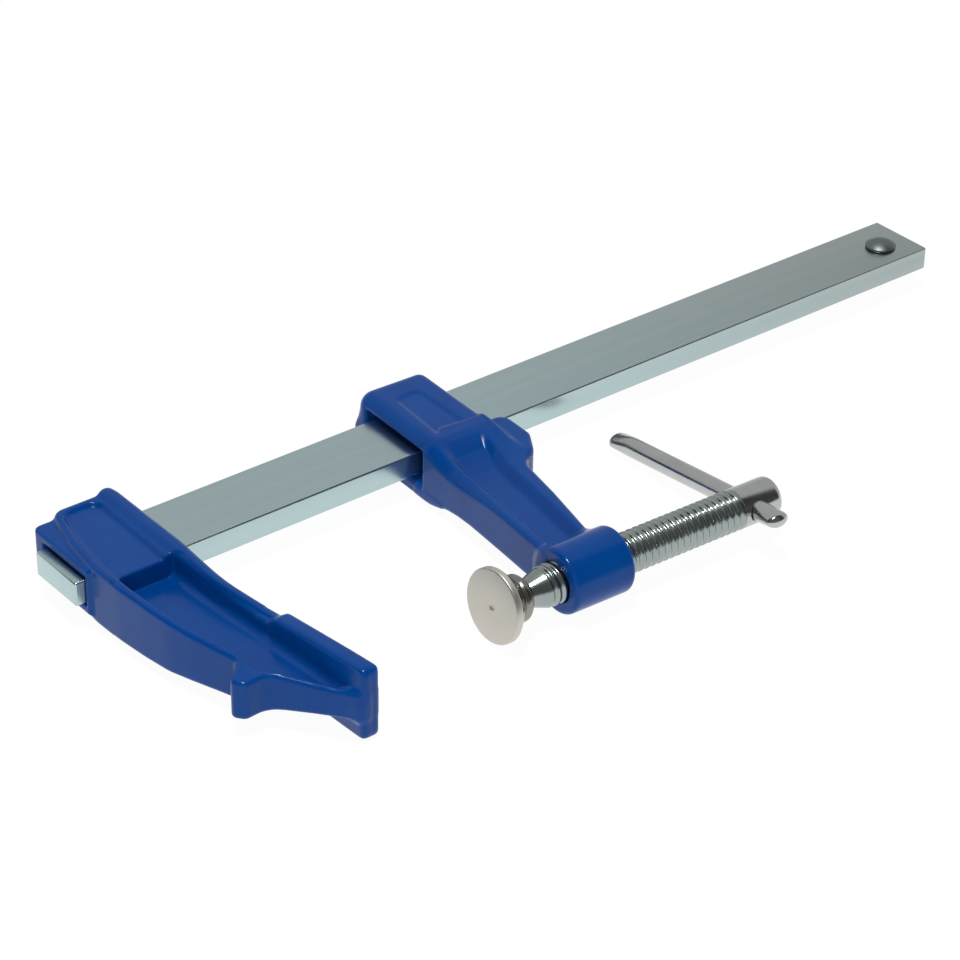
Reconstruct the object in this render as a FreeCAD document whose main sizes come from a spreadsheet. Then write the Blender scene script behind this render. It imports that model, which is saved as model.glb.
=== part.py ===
"""Quick release bar clamp: a flat steel rail, a fixed cast arm, a cast arm that slides along the rail,
and a screw spindle with a swivel pad and a tommy bar.

Frame: the origin is on the fixed jaw's face, level with the spindle. +X runs along the rail to its free end,
+Y from the jaws to the rail and +Z up, with z = 0 in the middle of the rail's thickness. Millimetres."""
import FreeCAD, Part
import math
import os

import Sketcher
from FreeCAD import Placement, Rotation, Vector

driving = {
    # rail
    "railWidth": 30.0, "railThickness": 10.0, "railReach": 379.5, "railBevel": 0.5, "railCornerRadius": 1.0,
    "throatDepth": 95.0, "tenonStandOut": 4.0, "tenonStep": 4.5, "socketClearance": 0.05, "socketFlare": 1.2,
    # end stop rivet
    "stopFromEnd": 15.0, "stopFromFront": 12.8, "stopHead": 13.0, "stopHeight": 4.0, "stopRim": 0.8,
    "stopShank": 8.0, "stopFootHead": 12.0, "stopFootFlat": 8.4, "stopFootHeight": 2.2,
    "rivetClearance": 0.05,
    # fixed arm
    "headLeft": 43.0, "headFlank": 7.7, "headBack": 9.5, "headStep": 9.0, "headFieldHeight": 21.0,
    "collarHeight": 19.0, "collarRight": 22.0,
    "fixedFlangeWidth": 7.0, "fixedRimWidth": 4.0, "fixedWeb": 6.0, "fixedHeadTop": 11.8, "fixedRimTip": 5.3,
    "flangeTop": 13.0, "flangeEnd": 9.2, "toeAngle": 5.0, "jawUp": 28.5, "jawDown": 18.6,
    "jawThickness": 8.5, "jawRootTop": 12.9, "jawTipTop": 15.3, "jawEndRound": 4.0,
    # sliding arm
    "armPlace": 124.0, "armRock": 2.39, "slideLeft": 18.7, "slideRight": 10.8, "slideTop": 13.3,
    "slideReach": 15.0, "slideSlope": 9.0, "slideRound": 4.2, "beamRound": 2.6, "bossRound": 2.6,
    "slideBackWall": 9.5, "slotPlay": 2.8, "slotFrontPlay": 1.3, "slotHeadroom": 1.3, "slotFlare": 1.6,
    "slotFlareDepth": 5.0, "fieldDepth": 0.8,
    "armHeight": 18.8, "armWeb": 9.6, "armLeft": 20.3, "armLeftFoot": 23.8, "armLeftRim": 4.2,
    "armRightRim": 6.2, "lobeReach": 21.3, "lobeLength": 28.0, "bossRadius": 13.0, "bossLeft": 24.6,
    "bossRight": 2.9,
    # spindle
    "spindleDiameter": 16.0, "spindleClearance": 0.08, "ballDiameter": 10.5, "neckDiameter": 7.6,
    "coneRoot": 10.1, "neckRise": 0.6, "neckGap": 0.5, "coneHalfAngle": 19.5, "headEnd": 77.5,
    "headCrown": 1.6, "headFlat": 10.0, "tommyAt": 65.8, "spindleTurn": 7.8,
    # tommy bar
    "tommyDiameter": 8.0, "tommyClearance": 0.08, "tommyFar": 80.0, "tommyEndGap": 0.2,
    "flatLength": 12.5, "flatWidth": 9.8, "flatThickness": 5.4,
    # swivel pad and its ring
    "padFaceAt": 53.3, "padDiameter": 28.8, "padRim": 3.2, "padBevel": 0.5, "padWeb": 2.5,
    "hubDiameter": 18.0, "hubLength": 13.8, "hubLip": 1.6, "hubBand": 1.8, "ballClearance": 0.1,
    "padPitch": 5.8, "padYaw": 3.0,
    "padSwing": 8.0, "ringThickness": 1.0, "ringInner": 8.4, "ringOuter": 12.8, "ringGapAngle": 40.0,
}

doc = FreeCAD.newDocument("bar_clamp")
sheet = doc.addObject("Spreadsheet::Sheet", "sizes")
for row, (alias, value) in enumerate(driving.items(), start=1):
    sheet.set("A%d" % row, alias)
    sheet.set("B%d" % row, str(value))
    sheet.setAlias("B%d" % row, alias)
doc.recompute()


def size(alias):
    return float(sheet.get(alias))


def newBody(label):
    body = doc.addObject("PartDesign::Body", label)
    body.Label = label
    return body


def newSketch(body, name, role, offset=None):
    """A sketch on one of the body's own planes, moved along the plane's normal by the expression offset."""
    sketch = body.newObject("Sketcher::SketchObject", name)
    plane = next(item for item in body.Origin.OriginFeatures if item.Role == role)
    sketch.AttachmentSupport = (plane, "")
    sketch.MapMode = "FlatFace"
    if offset:
        sketch.setExpression("AttachmentOffset.Base.z", offset)
    return sketch


def roundedPath(corners):
    """Lines and tangent arcs round a closed list of (x, y, radius) corners."""
    points = [Vector(x, y, 0) for x, y, _ in corners]
    entries, exits, middles = [], [], []
    for i, corner in enumerate(points):
        back = (points[i - 1] - corner).normalize()
        ahead = (points[(i + 1) % len(points)] - corner).normalize()
        half = back.getAngle(ahead) / 2
        radius = corners[i][2]
        tangent = radius / math.tan(half)
        entries.append(corner + back * tangent)
        exits.append(corner + ahead * tangent)
        inward = (back + ahead).normalize() if radius else Vector()
        middles.append(corner + inward * (radius / math.sin(half) - radius))
    geometry = []
    for i in range(len(points)):
        if corners[i][2]:
            geometry.append(Part.Arc(entries[i], middles[i], exits[i]))
        geometry.append(Part.LineSegment(exits[i], entries[(i + 1) % len(points)]))
    return geometry


def drawClosed(sketch, geometry):
    """Add a closed chain of curves and tie each end to the next."""
    first = sketch.GeometryCount
    sketch.addGeometry(geometry, False)
    count = len(geometry)
    for i in range(count):
        here, after = first + i, first + (i + 1) % count
        ends = [(a, b) for a in (1, 2) for b in (1, 2)]
        a, b = min(ends, key=lambda e: sketch.getPoint(here, e[0]).distanceToPoint(
            sketch.getPoint(after, e[1])))
        sketch.addConstraint(Sketcher.Constraint("Coincident", here, a, after, b))


def drawOutline(sketch, corners):
    drawClosed(sketch, roundedPath(corners))


def drawBox(sketch, low, high, half, radius):
    """A rectangle across the rail, from low to high and as far above its middle plane as below."""
    drawOutline(sketch, [(low, -half, radius), (high, -half, radius), (high, half, radius),
                         (low, half, radius)])


def chain(points):
    """Straight lines from each (x, y) point to the next."""
    corners = [Vector(x, y, 0) for x, y in points]
    return [Part.LineSegment(a, b) for a, b in zip(corners, corners[1:])]


def drawCircle(sketch, x, y, radius):
    sketch.addGeometry(Part.Circle(Vector(x, y, 0), Vector(0, 0, 1), radius), False)


def pad(body, sketch, name, length, middle=True, reverse=False):
    feature = body.newObject("PartDesign::Pad", name)
    feature.Profile = sketch
    feature.setExpression("Length", length)
    feature.Midplane = middle
    feature.Reversed = reverse
    return feature


def pocket(body, sketch, name, length=None, middle=False, reverse=False):
    """A pocket of the given length, or right through, against the sketch's normal unless reversed."""
    feature = body.newObject("PartDesign::Pocket", name)
    feature.Profile = sketch
    if length:
        feature.setExpression("Length", length)
    else:
        feature.Type = "ThroughAll"
    feature.Midplane = middle
    feature.Reversed = reverse
    return feature


def mirrorOverRail(body, features, name):
    """Repeat features on the underside, mirrored in the rail's middle plane."""
    mirror = body.newObject("PartDesign::Mirrored", name)
    mirror.Originals = features
    plane = next(item for item in body.Origin.OriginFeatures if item.Role == "XY_Plane")
    mirror.MirrorPlane = (plane, [""])
    body.Tip = mirror
    return mirror


def revolve(body, sketch, name, role="X_Axis", angle=360.0):
    feature = body.newObject("PartDesign::Revolution", name)
    feature.Profile = sketch
    axis = next(item for item in body.Origin.OriginFeatures if item.Role == role)
    feature.ReferenceAxis = (axis, [""])
    feature.Angle = angle
    return feature


def edgesWhere(feature, test):
    doc.recompute()
    return ["Edge%d" % (i + 1) for i, edge in enumerate(feature.Shape.Edges) if test(edge)]


def dressEdges(body, kind, feature, edges, name, expression):
    """A Fillet or Chamfer on the named edges of a feature."""
    dress = body.newObject("PartDesign::" + kind, name)
    dress.Base = (feature, edges)
    dress.setExpression("Radius" if kind == "Fillet" else "Size", expression)
    doc.recompute()
    return dress


def flatAt(edge, z):
    box = edge.BoundBox
    return abs(box.ZMin - z) < 1e-4 and abs(box.ZMax - z) < 1e-4


frontEdge = size("throatDepth")
backEdge = frontEdge + size("railWidth")
railHalf = size("railThickness") / 2
spindleRadius = size("spindleDiameter") / 2
ballRadius = size("ballDiameter") / 2


def makeRail():
    """Flat bar with a stepped end that shows through the fixed arm, and a hole for the end stop."""
    body = newBody("rail")
    tenonEnd = -size("headLeft") - size("tenonStandOut")
    shoulder = -size("headLeft") + size("tenonStep")
    radius = size("railCornerRadius")
    plan = newSketch(body, "railPlan", "XY_Plane")
    drawOutline(plan, [
        (tenonEnd, frontEdge + size("tenonStep"), radius), (shoulder, frontEdge + size("tenonStep"), 0),
        (shoulder, frontEdge, 0), (size("railReach"), frontEdge, radius),
        (size("railReach"), backEdge, radius), (tenonEnd, backEdge, radius)])
    bar = pad(body, plan, "railBar", "sizes.railThickness")
    hole = newSketch(body, "railHole", "XY_Plane")
    drawCircle(hole, size("railReach") - size("stopFromEnd"), frontEdge + size("stopFromFront"),
               size("stopShank") / 2 + size("rivetClearance"))
    drilled = pocket(body, hole, "stopHole", middle=True)
    longEdges = edgesWhere(drilled, lambda e: e.Length > size("railReach") / 2
                           and abs(e.BoundBox.ZMax - e.BoundBox.ZMin) < 1e-4)
    dressEdges(body, "Chamfer", drilled, longEdges, "railBevels", "sizes.railBevel")
    return body


def makeEndStop():
    """Rivet with a domed head on top of the rail and a flatter formed head under it."""
    body = newBody("end_stop")
    outline = newSketch(body, "stopProfile", "XZ_Plane")
    shank, head, foot = size("stopShank") / 2, size("stopHead") / 2, size("stopFootHead") / 2
    top, bottom = railHalf + size("stopHeight"), -railHalf - size("stopFootHeight")
    rim = size("stopRim")
    rise = size("stopHeight") - rim
    domeRadius = (head ** 2 + rise ** 2) / (2 * rise)
    lean = math.asin(head / domeRadius) / 2
    dome = Part.Arc(Vector(head, railHalf + rim, 0),
                    Vector(domeRadius * math.sin(lean), top - domeRadius * (1 - math.cos(lean)), 0),
                    Vector(0, top, 0))
    lines = chain([(0, top), (0, bottom), (size("stopFootFlat") / 2, bottom), (foot, -railHalf - rim),
                   (foot, -railHalf), (shank, -railHalf), (shank, railHalf), (head, railHalf),
                   (head, railHalf + rim)])
    drawClosed(outline, lines + [dome])
    revolve(body, outline, "stopTurned", "Z_Axis")
    body.Placement = Placement(
        Vector(size("railReach") - size("stopFromEnd"), frontEdge + size("stopFromFront"), 0), Rotation())
    return body


def jawFaceX(y):
    """The jaw's face leans in by the toe angle, through the origin."""
    return -y * math.tan(math.radians(size("toeAngle")))


def sideFrame(sketch, kept):
    """A wide border round the kept outline, to cut away all that stands outside it."""
    reach = 2 * backEdge
    drawOutline(sketch, [(-reach, -reach, 0), (reach, -reach, 0), (reach, reach, 0), (-reach, reach, 0)])
    drawOutline(sketch, kept)


def makeFixedArm():
    """Cast arm: a head round the rail, a curved web between two rims, a spur and an upright jaw plate."""
    body = newBody("fixed_arm")
    left, flank = -size("headLeft"), -size("headFlank")
    back = backEdge + size("headBack")
    waist = frontEdge - size("headStep")
    flangeInner = flank - size("fixedFlangeWidth")
    jawFoot = jawFaceX(-14) - size("jawThickness")

    # The web is the whole outline: head, curved outer side, spur, slope to the jaw's tip and inner side.
    outer = [(left + 1.0, frontEdge, 40), (left + 1.4, frontEdge * 0.79, 60),
             (left + 5.6, frontEdge * 0.45, 60), (left + 12.4, 21, 4), (left + 4.0, 13.6, 2.6),
             (left + 7.4, 8.6, 3.0), (left + 18.6, 9.4, 9), (jawFoot, -14.5, 3)]
    inner = [(jawFaceX(-14), -14, 1), (jawFaceX(size("jawUp")), size("jawUp"), 12),
             (flank - 0.9, frontEdge * 0.63, 90), (flank, frontEdge - 5, 60), (flank, back, 5)]
    corner = [(left + 9.5, back, 5), (left + 4.0, frontEdge + 20, 30)]
    web = newSketch(body, "webPlan", "XY_Plane")
    drawOutline(web, outer + inner + corner)
    pad(body, web, "web", "sizes.fixedHeadTop * 2")

    # Troughs above and below the web leave the outer rim standing, and shallow fields mark the head.
    rim = size("fixedRimWidth")
    trough = newSketch(body, "troughPlan", "XY_Plane", "sizes.fixedWeb / 2")
    drawOutline(trough, [
        (left + 1.2 + rim, waist, 5), (left + 2.4 + rim, frontEdge * 0.73, 60),
        (left + 5.8 + rim, frontEdge * 0.47, 60), (left + 14.5 + rim, 12.5, 10),
        (jawFoot - 4.7, -5.5, 3.0), (-4.0, 14, 3), (flank, frontEdge * 0.55, 20), (flank, waist, 3)])
    upper = pocket(body, trough, "troughTop", reverse=True)
    field = newSketch(body, "fieldPlan", "XY_Plane", "sizes.headFieldHeight / 2")
    drawOutline(field, [
        (left + 1.2 + rim, waist - 3, 2), (left + 2.2 + rim, frontEdge + 5, 20), (left + 12.0, back - 5, 4),
        (flangeInner + 2, back - 5, 4), (flangeInner + 2, waist - 3, 2)])
    shallow = pocket(body, field, "fieldTop", reverse=True)
    mirrorOverRail(body, [upper, shallow], "lowerTroughs")

    # The rims get lower towards the jaw.
    side = newSketch(body, "rimSide", "YZ_Plane")
    top, tip, end = size("fixedHeadTop"), size("fixedRimTip"), -size("jawDown")
    sideFrame(side, [
        (back + 1, top, 0), (frontEdge - 5, top, 60), (end, tip, 0), (end, -tip, 0),
        (frontEdge - 5, -top, 60), (back + 1, -top, 0)])
    pocket(body, side, "rimTaper", middle=True)

    # The inner flange and the jaw plate stand higher, with a side outline of their own.
    fuseInto(body, "withFlange", [makeFlangeAndJaw(back)])
    collar = newSketch(body, "collarPlan", "XY_Plane")
    right = -size("collarRight")
    drawOutline(collar, [(left, waist + 6, 2), (right, waist + 6, 0), (right, back - 1, 0),
                         (left, back - 1, 3)])
    pad(body, collar, "collar", "sizes.collarHeight")

    # The rail's full width starts behind the stepped end, which shows in a mouth of its own.
    gap, flare = size("socketClearance"), size("socketFlare")
    socket = newSketch(body, "socketSection", "YZ_Plane",
                       "-sizes.headLeft + sizes.tenonStep - sizes.socketClearance")
    drawBox(socket, frontEdge - gap, backEdge + gap, railHalf + gap, 0)
    pocket(body, socket, "railSocket", reverse=True)
    mouth = newSketch(body, "mouthSection", "YZ_Plane", "-sizes.headLeft + sizes.tenonStep")
    drawBox(mouth, frontEdge + size("tenonStep") - flare, backEdge + flare / 2, railHalf + flare, 1)
    pocket(body, mouth, "socketMouth")
    return body


def makeFlangeAndJaw(back):
    """The tension flange and the upright jaw plate, fused into the fixed arm."""
    crest = newBody("flange_and_jaw")
    flank, thick = -size("headFlank"), size("jawThickness")
    flangeInner = flank - size("fixedFlangeWidth")
    up, down = size("jawUp"), -size("jawDown")
    plan = newSketch(crest, "flangePlan", "XY_Plane")
    drawOutline(plan, [
        (flank, back + 1.5, 2.5), (flank, frontEdge - 5, 60), (flank - 0.9, frontEdge * 0.63, 90),
        (jawFaceX(up), up, 6), (jawFaceX(down), down, 1.5), (jawFaceX(down) - thick, down, 3.0),
        (jawFaceX(up) - thick, up + 1.5, 14), (flangeInner + 1.6, frontEdge * 0.65, 60),
        (flangeInner, frontEdge - 5, 60), (flangeInner, back + 1.5, 3)])
    pad(crest, plan, "flange", "sizes.jawTipTop * 2")
    side = newSketch(crest, "flangeSide", "YZ_Plane")
    top, end, root, tip = size("flangeTop"), size("flangeEnd"), size("jawRootTop"), size("jawTipTop")
    upper = [(back + 2, top, 3), (frontEdge - 5, top, 60), (up + 4.5, end, 4), (up - 0.5, root, 4),
             (down, tip, size("jawEndRound"))]
    lower = [(y, -z, radius) for y, z, radius in reversed(upper)]
    sideFrame(side, upper + lower)
    pocket(crest, side, "flangeTaper", middle=True)
    return crest


def fuseInto(body, name, tools):
    joined = body.newObject("PartDesign::Boolean", name)
    joined.setObjects(tools)
    joined.Type = "Fuse"
    return joined


def slidingPlacement():
    """The sliding arm hangs a little askew on the rail, turned about the rail's middle line."""
    middle = Vector(size("armPlace"), frontEdge + size("railWidth") / 2, 0)
    turn = Placement(middle, Rotation(Vector(0, 0, 1), -size("armRock")))
    return turn * Placement(Vector(0, -frontEdge - size("railWidth") / 2, 0), Rotation())


def onPlane(edge, direction, place):
    """True for an edge that lies wholly in the plane at the given place along a direction."""
    ends = [vertex.Point.dot(direction) for vertex in edge.Vertexes] + [edge.CenterOfMass.dot(direction)]
    return all(abs(end - place) < 1e-3 for end in ends)


def makeSlideHead(back, front):
    """The head: a block with a round back, all its side edges well rounded."""
    body = newBody("slide_head")
    top, low = size("slideTop"), size("armWeb") / 2 + 0.6
    side = newSketch(body, "headSide", "YZ_Plane", "-sizes.slideLeft")
    drawOutline(side, [(front, -top, 5), (back, -top, 7.5), (back, top, 7.5),
                       (front + size("slideSlope"), top, 9), (front, low, 0)])
    block = pad(body, side, "headBlock", "sizes.slideLeft + sizes.slideRight", middle=False)
    across = Vector(1, 0, 0)
    rims = edgesWhere(block, lambda e: onPlane(e, across, -size("slideLeft"))
                      or onPlane(e, across, size("slideRight")))
    dressEdges(body, "Fillet", block, rims, "headRound", "sizes.slideRound")
    return body


def makeArmBeam(front):
    """The beam from the head to the boss, with the lobe beside the rail."""
    body = newBody("arm_beam")
    left, foot, right = -size("armLeft"), -size("armLeftFoot"), size("lobeReach")
    bite = frontEdge - size("slotFrontPlay")
    lobeStart = frontEdge - size("lobeLength")
    plan = newSketch(body, "armPlan", "XY_Plane")
    drawOutline(plan, [
        (left + 3.6, bite - 4, 3), (left, front - 6, 10), (left - 0.5, front * 0.65, 60), (foot, 4, 3.2),
        (0.2, 4, 3.2), (6.2, front * 0.5, 60), (9.5, lobeStart - 9, 12), (right - 4, lobeStart, 12),
        (right, frontEdge - size("slideReach"), 6), (right, bite, 8), (size("slideRight") - 4, bite, 3)])
    beam = pad(body, plan, "beam", "sizes.armHeight")
    half = size("armHeight") / 2
    rims = edgesWhere(beam, lambda e: flatAt(e, half) or flatAt(e, -half))
    dressEdges(body, "Fillet", beam, rims, "beamRound", "sizes.beamRound")
    return body


def makeBoss():
    body = newBody("arm_boss")
    section = newSketch(body, "bossSection", "YZ_Plane", "-sizes.bossLeft")
    drawCircle(section, 0, 0, size("bossRadius"))
    barrel = pad(body, section, "bossBarrel", "sizes.bossLeft + sizes.bossRight", middle=False)
    rims = edgesWhere(barrel, lambda e: len(e.Vertexes) == 1)
    dressEdges(body, "Fillet", barrel, rims, "bossRound", "sizes.bossRound")
    return body


def makeSlidingArm():
    """Cast arm with a slotted head round the rail, a lobe that bites its front edge, and a threaded boss."""
    body = newBody("sliding_arm")
    low, high = frontEdge - size("slotFrontPlay"), backEdge + size("slotPlay") - size("slotFrontPlay")
    back, front = high + size("slideBackWall"), frontEdge - size("slideReach")
    beam, head, boss = makeArmBeam(front), makeSlideHead(back, front), makeBoss()

    # The troughs are cut before the boss goes on, so they run out against it.
    fuseInto(body, "armCasting", [beam, head])
    left, right = -size("slideLeft") + 8.0, size("slideRight") - 5.0
    field = newSketch(body, "headField", "XY_Plane", "sizes.slideTop - sizes.fieldDepth")
    drawOutline(field, [(left, front + 12, 3), (left, back - 8, 3), (right, back - 8, 3),
                        (right, front + 12, 3)])
    fieldTop = pocket(body, field, "headFieldTop", reverse=True)
    leftRim, rightRim = size("armLeftRim") - size("armLeft"), -size("armRightRim")
    trough = newSketch(body, "armTrough", "XY_Plane", "sizes.armWeb / 2")
    drawOutline(trough, [
        (leftRim + 1.5, front - 1, 5), (leftRim - 0.5, front * 0.65, 60), (leftRim - 3.3, -6, 2),
        (rightRim, -6, 2), (rightRim + 6.2, front * 0.5, 60), (rightRim + 10.0, front * 0.775, 20),
        (rightRim + 10.6, front - 1, 4)])
    troughTop = pocket(body, trough, "armTroughTop", "sizes.armHeight / 2", reverse=True)
    mirrorOverRail(body, [fieldTop, troughTop], "lowerSide")
    fuseInto(body, "withBoss", [boss])

    bore = newSketch(body, "boreSection", "YZ_Plane")
    drawCircle(bore, 0, 0, spindleRadius + size("spindleClearance"))
    pocket(body, bore, "bore", middle=True)
    slot = newSketch(body, "slotSection", "YZ_Plane")
    room = railHalf + size("slotHeadroom")
    drawBox(slot, low, high, room, 0.8)
    pocket(body, slot, "railSlot", middle=True)
    flare = size("slotFlare")
    mouth = newSketch(body, "slotMouth", "YZ_Plane", "-sizes.slideLeft + sizes.slotFlareDepth")
    drawBox(mouth, low - flare, high + flare, room + flare, 2)
    pocket(body, mouth, "slotFlare")
    body.Placement = slidingPlacement()
    return body


def makeSpindle():
    """Screw spindle: ball, neck, cone, threaded shank at its full diameter and a cross-drilled head."""
    body = newBody("spindle")
    outline = newSketch(body, "spindleProfile", "XY_Plane")
    ball, neck = ballRadius, size("neckDiameter") / 2
    centre = ballCentre()
    neckStart = centre + math.sqrt(ball ** 2 - neck ** 2)
    neckEnd = -size("padFaceAt") + size("hubLength") + size("neckGap")
    coneStart, root = neckEnd + size("neckRise"), size("coneRoot") / 2
    coneEnd = coneStart + (spindleRadius - root) / math.tan(math.radians(size("coneHalfAngle")))
    end, crown, flat = size("headEnd"), size("headCrown"), size("headFlat") / 2
    lines = chain([(neckStart, neck), (neckEnd, neck), (coneStart, root), (coneEnd, spindleRadius),
                   (end - crown, spindleRadius)])
    bulge = flat + (spindleRadius - flat) * 0.63
    crownArc = Part.Arc(Vector(end - crown, spindleRadius, 0), Vector(end - crown * 0.31, bulge, 0),
                        Vector(end, flat, 0))
    half = math.pi - math.atan2(neck, neckStart - centre)
    middle = Vector(centre + ball * math.cos(math.pi - half / 2), ball * math.sin(math.pi - half / 2), 0)
    ballArc = Part.Arc(Vector(centre - ball, 0, 0), middle, Vector(neckStart, neck, 0))
    close = chain([(end, flat), (end, 0), (centre - ball, 0)])
    drawClosed(outline, [ballArc] + lines + [crownArc] + close)
    revolve(body, outline, "spindleTurned")
    hole = newSketch(body, "tommyHole", "XZ_Plane")
    drawCircle(hole, size("tommyAt"), 0, size("tommyDiameter") / 2 + size("tommyClearance"))
    pocket(body, hole, "tommyBore", middle=True)
    body.Placement = turnedPlacement()
    return body


def ballCentre():
    """Where the ball's centre lies on the spindle's axis."""
    return -size("padFaceAt") + size("padWeb") + ballRadius + size("ballClearance")


def turnedPlacement():
    return slidingPlacement() * Placement(Vector(), Rotation(Vector(1, 0, 0), -size("spindleTurn")))


def makeTommyBar():
    """Round bar through the spindle's head, with both ends pressed flat so that it can't fall out."""
    body = newBody("tommy_bar")
    flat, far = size("flatLength"), size("tommyFar")
    near = -spindleRadius - size("tommyEndGap") - flat
    rod = newSketch(body, "rodSection", "XZ_Plane", "-sizes.tommyFar + sizes.flatLength * 0.6")
    reach = "sizes.tommyFar + sizes.spindleDiameter / 2 + sizes.tommyEndGap - sizes.flatLength * 0.2"
    drawCircle(rod, size("tommyAt"), 0, size("tommyDiameter") / 2)
    pad(body, rod, "rod", reach, middle=False)
    ends = newSketch(body, "flatPlan", "XY_Plane")
    half, x = size("flatWidth") / 2, size("tommyAt")
    for tip, root in ((far, far - flat), (near, near + flat)):
        drawOutline(ends, [(x - half, tip, half * 0.85), (x + half, tip, half * 0.85),
                           (x + half * 0.72, root, 1.5), (x - half * 0.72, root, 1.5)])
    pad(body, ends, "flats", "sizes.flatThickness")
    body.Placement = turnedPlacement()
    return body


def padPlacement():
    """The pad swings on the ball: it has tipped and turned a little under its own weight."""
    centre = Vector(ballCentre(), 0, 0)
    swing = Rotation(Vector(0, 0, 1), size("padYaw")).multiply(Rotation(Vector(0, 1, 0), size("padPitch")))
    return slidingPlacement() * Placement(centre, swing) * Placement(-centre, Rotation())


def makeSwivelPad():
    """Turned pad: a disc with a conical back and a hub that holds the ball and has a groove for the ring."""
    body = newBody("swivel_pad")
    face, centre = -size("padFaceAt"), ballCentre()
    seat = ballRadius + size("ballClearance")
    bore = seat + 0.05
    disc, hub = size("padDiameter") / 2, size("hubDiameter") / 2
    lip = face + size("hubLength")
    groove, grooveStart, grooveEnd = grooveSizes()
    outline = newSketch(body, "padProfile", "XY_Plane")
    seatRim = Vector(centre, seat, 0)
    slant = seat / math.sqrt(2)
    seatArc = Part.Arc(Vector(centre - seat, 0, 0), Vector(centre - slant, slant, 0), seatRim)
    turned, band, bevel = size("hubLip"), size("hubBand"), size("padBevel")
    inside = [(centre, seat), (centre, bore), (grooveStart, bore), (grooveStart, groove),
              (grooveEnd, groove), (grooveEnd, bore), (lip, bore)]
    outside = [(lip, hub - turned), (lip - turned, hub), (lip - turned - band, hub),
               (lip - turned - 2 * band, hub - band / 2), (face + size("padRim"), disc),
               (face + bevel, disc), (face, disc - bevel), (face, 0), (centre - seat, 0)]
    drawClosed(outline, [seatArc] + chain(inside + outside))
    revolve(body, outline, "padTurned")
    body.Placement = padPlacement()
    return body


def ringStart():
    """The ring lies just behind the ball, where the ball is already narrower than the ring's bore."""
    return ballCentre() + math.sqrt(ballRadius ** 2 - (size("ringInner") / 2) ** 2) + size("ballClearance")


def grooveSizes():
    """The groove leaves the ring room at the pad's full swing: its radius, its start and its end."""
    swing = math.radians(size("padSwing"))
    outer = size("ringOuter") / 2
    start, end = ringStart(), ringStart() + size("ringThickness")
    sideways = (end - ballCentre()) * math.sin(swing) + 0.15
    along = outer * math.sin(swing) + 0.1
    return outer + sideways, start - along, end + along


def makeRetainingRing():
    """Split ring behind the ball that keeps the pad on the spindle."""
    body = newBody("retaining_ring")
    section = newSketch(body, "ringSection", "XY_Plane")
    start, end = ringStart(), ringStart() + size("ringThickness")
    inner, outer = size("ringInner") / 2, size("ringOuter") / 2
    drawOutline(section, [(start, inner, 0), (end, inner, 0), (end, outer, 0), (start, outer, 0)])
    revolve(body, section, "ringTurned", angle=360 - size("ringGapAngle"))
    body.Placement = slidingPlacement()
    return body


makers = (makeRail, makeEndStop, makeFixedArm, makeSlidingArm, makeSpindle, makeTommyBar, makeSwivelPad,
          makeRetainingRing)
bodies = [make() for make in makers]
doc.recompute()

for item in doc.Objects:
    if "Invalid" in item.State or "Error" in item.State:
        raise RuntimeError("%s failed: %s" % (item.Label, item.State))
for body in bodies:
    if body.Shape.isNull() or not body.Shape.isValid() or len(body.Shape.Solids) != 1:
        raise RuntimeError("%s has no valid solid" % body.Label)

os.makedirs("parts", exist_ok=True)
for body in bodies:
    body.Shape.exportStep("parts/%s.step" % body.Label)
    print(body.Label, "volume", round(body.Shape.Volume), "faces", len(body.Shape.Faces))
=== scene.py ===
import math

import bmesh
import bpy
import numpy as np
from mathutils import Matrix, Vector


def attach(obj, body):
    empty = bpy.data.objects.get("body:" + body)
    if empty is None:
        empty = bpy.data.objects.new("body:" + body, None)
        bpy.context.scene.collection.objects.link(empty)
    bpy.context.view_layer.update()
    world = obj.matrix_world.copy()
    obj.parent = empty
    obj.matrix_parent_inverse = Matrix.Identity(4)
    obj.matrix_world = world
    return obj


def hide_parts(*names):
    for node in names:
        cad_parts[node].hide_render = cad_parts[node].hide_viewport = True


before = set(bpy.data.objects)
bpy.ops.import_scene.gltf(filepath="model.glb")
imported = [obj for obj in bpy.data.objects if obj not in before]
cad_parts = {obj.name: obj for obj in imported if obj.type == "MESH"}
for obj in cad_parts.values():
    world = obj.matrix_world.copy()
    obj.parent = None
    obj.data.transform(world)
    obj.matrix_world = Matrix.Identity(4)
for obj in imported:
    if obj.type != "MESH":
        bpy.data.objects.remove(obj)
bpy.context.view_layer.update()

millimetre = 0.001
print("loaded the clamp's frame:", sorted(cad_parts))

# where the sliding arm and what it carries stand, in millimetres and degrees
armSettings = {
    "place": 124.0,         # along the rail, from the fixed jaw
    "railMiddle": 110.0,    # across, from the spindle to the rail's middle
    "rock": -2.39,          # the arm leans on the rail as it hangs
    "ballCentre": -45.45,   # along the spindle
    "spindleTurn": -7.8,    # turn of the spindle and its tommy bar
    "padPitch": 5.8,
    "padYaw": 3.0,
}


def turned(degrees, axis):
    return Matrix.Rotation(math.radians(degrees), 4, axis)


def shifted(x, y, z):
    return Matrix.Translation(Vector((x, y, z)) * millimetre)


armFrame = (shifted(armSettings["place"], armSettings["railMiddle"], 0) @ turned(armSettings["rock"], "Z")
            @ shifted(0, -armSettings["railMiddle"], 0))
screwFrame = armFrame @ turned(armSettings["spindleTurn"], "X")
padFrame = (armFrame @ shifted(armSettings["ballCentre"], 0, 0) @ turned(armSettings["padYaw"], "Z")
            @ turned(armSettings["padPitch"], "Y") @ shifted(-armSettings["ballCentre"], 0, 0))


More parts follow.
